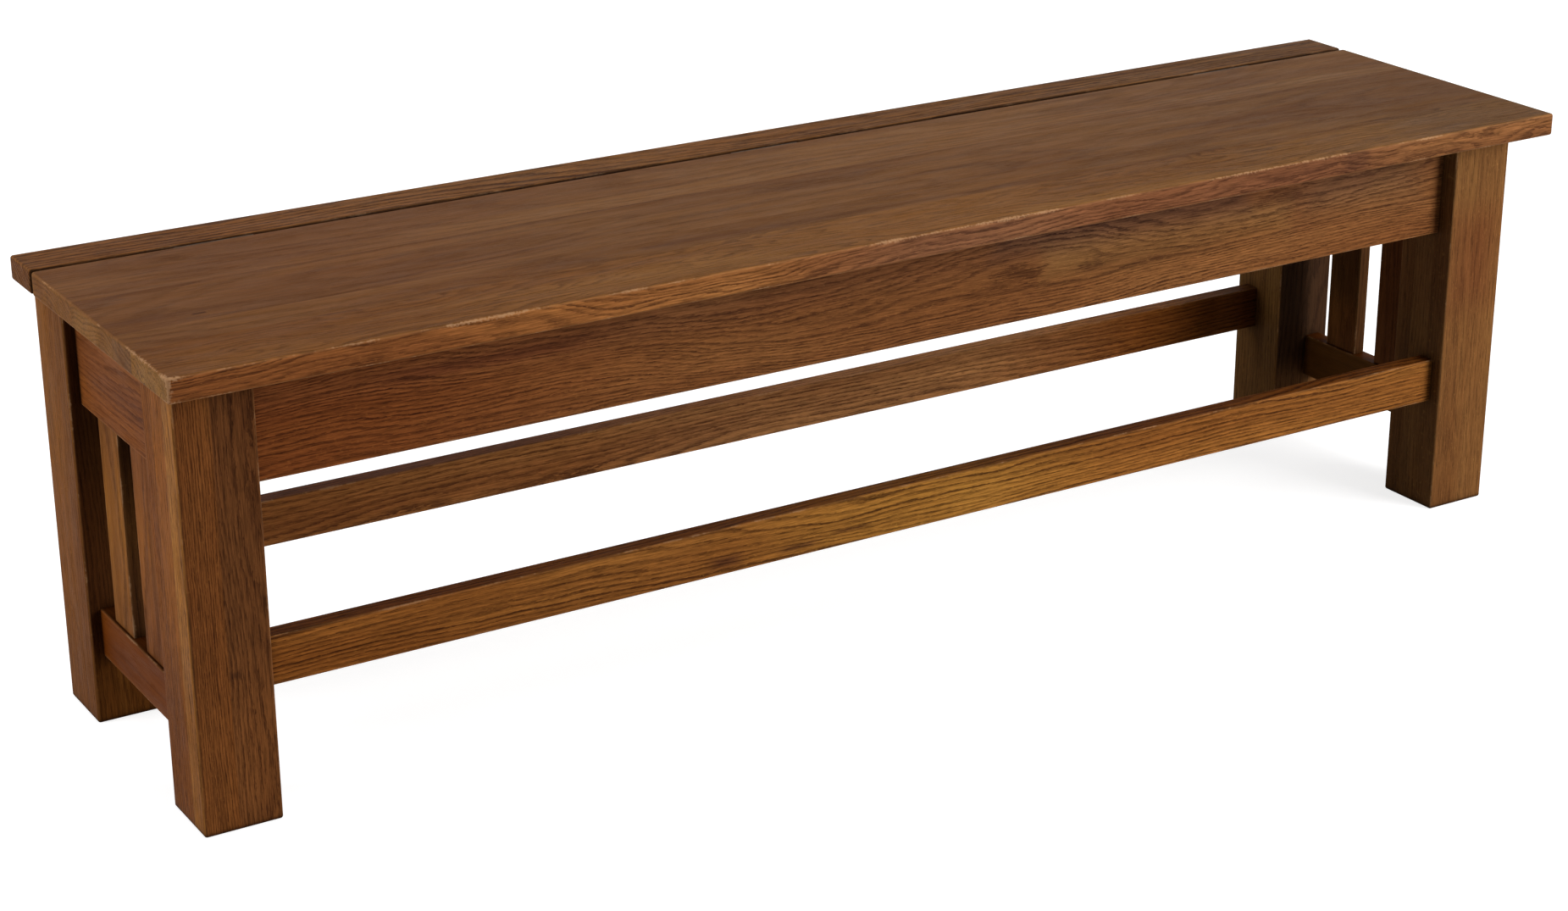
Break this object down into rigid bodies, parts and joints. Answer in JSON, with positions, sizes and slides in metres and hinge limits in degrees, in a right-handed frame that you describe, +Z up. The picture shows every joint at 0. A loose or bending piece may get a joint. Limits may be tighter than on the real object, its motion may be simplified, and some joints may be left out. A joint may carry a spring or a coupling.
{
  "type": "mission bench",
  "caption": "Backless mission bench in stained oak with square legs, slatted end panels, low stretchers and a lift lid over a shallow storage box.",
  "frame": {"origin": "on the floor under the middle of the top", "axes": "+X along the bench to the right, +Y to the back where the lid is hinged, +Z up"},
  "size_m": [1.579, 0.401, 0.457],
  "materials": {
    "oak_top": "medium brown stained oak, satin lacquer",
    "oak_legs": "medium brown stained oak, satin lacquer",
    "oak_rails": "golden brown stained oak, satin lacquer",
    "oak_end_panels": "medium brown stained oak, satin lacquer",
    "oak_inside": "lightly stained oak, matt",
    "plywood": "plywood, matt",
    "hinge_bronze": "dark bronze, satin",
    "zinc_steel": "zinc plated, satin"
  },
  "bodies": {
    "bench": {"apron_front": "oak_rails", "apron_rear": "oak_rails", "bottom_cleat_front": "oak_inside", "bottom_cleat_left": "oak_inside", "bottom_cleat_rear": "oak_inside", "bottom_cleat_right": "oak_inside", "cleat_screws": "zinc_steel", "end_rail_bottom_left": "oak_end_panels", "end_rail_bottom_right": "oak_end_panels", "end_rail_top_left": "oak_end_panels", "end_rail_top_right": "oak_end_panels", "hinge_leaf_strip_left": "hinge_bronze", "hinge_leaf_strip_middle": "hinge_bronze", "hinge_leaf_strip_right": "hinge_bronze", "hinge_pin_left": "hinge_bronze", "hinge_pin_middle": "hinge_bronze", "hinge_pin_right": "hinge_bronze", "hinge_screws_strip": "hinge_bronze", "leg_front_left": "oak_legs", "leg_front_right": "oak_legs", "leg_rear_left": "oak_legs", "leg_rear_right": "oak_legs", "slat_left_front": "oak_end_panels", "slat_left_rear": "oak_end_panels", "slat_right_front": "oak_end_panels", "slat_right_rear": "oak_end_panels", "stay_foot_plate_left": "zinc_steel", "stay_foot_plate_right": "zinc_steel", "stay_foot_rivets": "zinc_steel", "stay_foot_screws": "zinc_steel", "storage_bottom": "plywood", "stretcher_front": "oak_rails", "stretcher_rear": "oak_rails", "strip_dowels": "oak_inside", "strip_rear": "oak_top"},
    "lid": {"batten_screws": "zinc_steel", "hinge_leaf_lid_left": "hinge_bronze", "hinge_leaf_lid_middle": "hinge_bronze", "hinge_leaf_lid_right": "hinge_bronze", "hinge_screws_lid": "hinge_bronze", "lid_batten_left": "oak_inside", "lid_batten_middle": "oak_inside", "lid_batten_right": "oak_inside", "lid_board_1": "oak_top", "lid_board_2": "oak_top", "lid_board_3": "oak_top", "lid_board_4": "oak_top", "stay_head_plate_left": "zinc_steel", "stay_head_plate_right": "zinc_steel", "stay_head_rivets": "zinc_steel", "stay_head_screws": "zinc_steel"},
    "stay_lower_left": {"stay_arm_lower_left": "zinc_steel", "stay_elbow_rivet_left": "zinc_steel"},
    "stay_upper_left": {"stay_arm_upper_left": "zinc_steel", "stay_elbow_cap_left": "zinc_steel"},
    "stay_lower_right": {"stay_arm_lower_right": "zinc_steel", "stay_elbow_rivet_right": "zinc_steel"},
    "stay_upper_right": {"stay_arm_upper_right": "zinc_steel", "stay_elbow_cap_right": "zinc_steel"}
  },
  "joints": [
    {"name": "lid_hinge", "type": "hinge", "parent": "bench", "child": "lid", "pos_m": [0, 0.143, 0.4536], "axis": [-1, 0, 0], "range_deg": [0, 85]},
    {"name": "stay_foot_left", "type": "hinge", "parent": "bench", "child": "stay_lower_left", "pos_m": [-0.7345, 0.1018, 0.384], "axis": [-1, 0, 0], "range_deg": [0, 94.7]},
    {"name": "stay_head_left", "type": "hinge", "parent": "lid", "child": "stay_upper_left", "pos_m": [-0.7345, 0.00499, 0.424], "axis": [1, 0, 0], "range_deg": [0, 100.9]},
    {"name": "stay_foot_right", "type": "hinge", "parent": "bench", "child": "stay_lower_right", "pos_m": [0.7345, 0.1018, 0.384], "axis": [-1, 0, 0], "range_deg": [0, 94.7]},
    {"name": "stay_head_right", "type": "hinge", "parent": "lid", "child": "stay_upper_right", "pos_m": [0.7345, 0.00499, 0.424], "axis": [1, 0, 0], "range_deg": [0, 100.9]}
  ],
  "couplings": [
    {"joint": "stay_foot_left", "follows": "lid_hinge", "ratio": 1.1088},
    {"joint": "stay_head_left", "follows": "lid_hinge", "ratio": 1.1808},
    {"joint": "stay_foot_right", "follows": "lid_hinge", "ratio": 1.1088},
    {"joint": "stay_head_right", "follows": "lid_hinge", "ratio": 1.1808}
  ]
}
